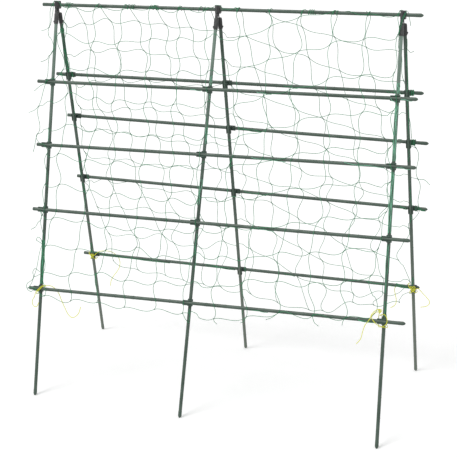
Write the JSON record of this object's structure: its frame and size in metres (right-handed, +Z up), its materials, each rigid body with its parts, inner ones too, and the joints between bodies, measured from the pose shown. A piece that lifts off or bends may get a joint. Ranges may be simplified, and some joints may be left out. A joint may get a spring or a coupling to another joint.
{
  "type": "cucumber trellis",
  "caption": "Folding A-frame garden trellis of coated stakes, moulded clips and a string net, for climbing plants to grow up.",
  "frame": {"origin": "on the ground, under the middle of the bounding box", "axes": "+X along the ridge pole towards its pointed end, +Z up, -Y towards the front panel"},
  "size_m": [1.2379, 0.597, 1.2182],
  "materials": {
    "coated_steel": "dark green-grey plastic coat over steel tube, satin",
    "clip_plastic": "very dark green moulded plastic",
    "fitting_plastic": "black-grey moulded plastic, slightly shiny",
    "net_string": "thin green knotted nylon string",
    "tie_cord": "bright yellow twine"
  },
  "bodies": {
    "front_panel": {"ridge_pole": "coated_steel", "front_leg_left": "coated_steel", "front_leg_middle": "coated_steel", "front_leg_right": "coated_steel", "front_rod_1": "coated_steel", "front_rod_2": "coated_steel", "front_rod_3": "coated_steel", "front_rod_4": "coated_steel", "front_clip_left_1": "clip_plastic", "front_clip_left_2": "clip_plastic", "front_clip_left_3": "clip_plastic", "front_clip_left_4": "clip_plastic", "front_clip_middle_1": "clip_plastic", "front_clip_middle_2": "clip_plastic", "front_clip_middle_3": "clip_plastic", "front_clip_middle_4": "clip_plastic", "front_clip_right_1": "clip_plastic", "front_clip_right_2": "clip_plastic", "front_clip_right_3": "clip_plastic", "front_clip_right_4": "clip_plastic", "front_fitting_left": "fitting_plastic", "front_fitting_middle": "fitting_plastic", "front_fitting_right": "fitting_plastic", "net_front": "net_string", "tie_front_left": "tie_cord", "tie_front_right": "tie_cord", "tie_front_left_tail_long": "tie_cord", "tie_front_left_tail_short": "tie_cord", "tie_front_right_tail_long": "tie_cord", "tie_front_right_loop": "tie_cord"},
    "back_panel": {"back_leg_left": "coated_steel", "back_leg_middle": "coated_steel", "back_leg_right": "coated_steel", "back_rod_1": "coated_steel", "back_rod_2": "coated_steel", "back_rod_3": "coated_steel", "back_rod_4": "coated_steel", "back_clip_left_1": "clip_plastic", "back_clip_left_2": "clip_plastic", "back_clip_left_3": "clip_plastic", "back_clip_left_4": "clip_plastic", "back_clip_middle_1": "clip_plastic", "back_clip_middle_2": "clip_plastic", "back_clip_middle_3": "clip_plastic", "back_clip_middle_4": "clip_plastic", "back_clip_right_1": "clip_plastic", "back_clip_right_2": "clip_plastic", "back_clip_right_3": "clip_plastic", "back_clip_right_4": "clip_plastic", "back_fitting_left": "fitting_plastic", "back_fitting_middle": "fitting_plastic", "back_fitting_right": "fitting_plastic", "net_back": "net_string", "tie_back_left": "tie_cord", "tie_back_right": "tie_cord", "tie_back_left_tail": "tie_cord", "tie_back_right_tail_outer": "tie_cord", "tie_back_right_tail_inner": "tie_cord"}
  },
  "joints": [
    {"name": "fold", "type": "hinge", "parent": "front_panel", "child": "back_panel", "pos_m": [0, 0, 1.20341], "axis": [1, 0, 0], "range_deg": [-1.5, 45]}
  ]
}
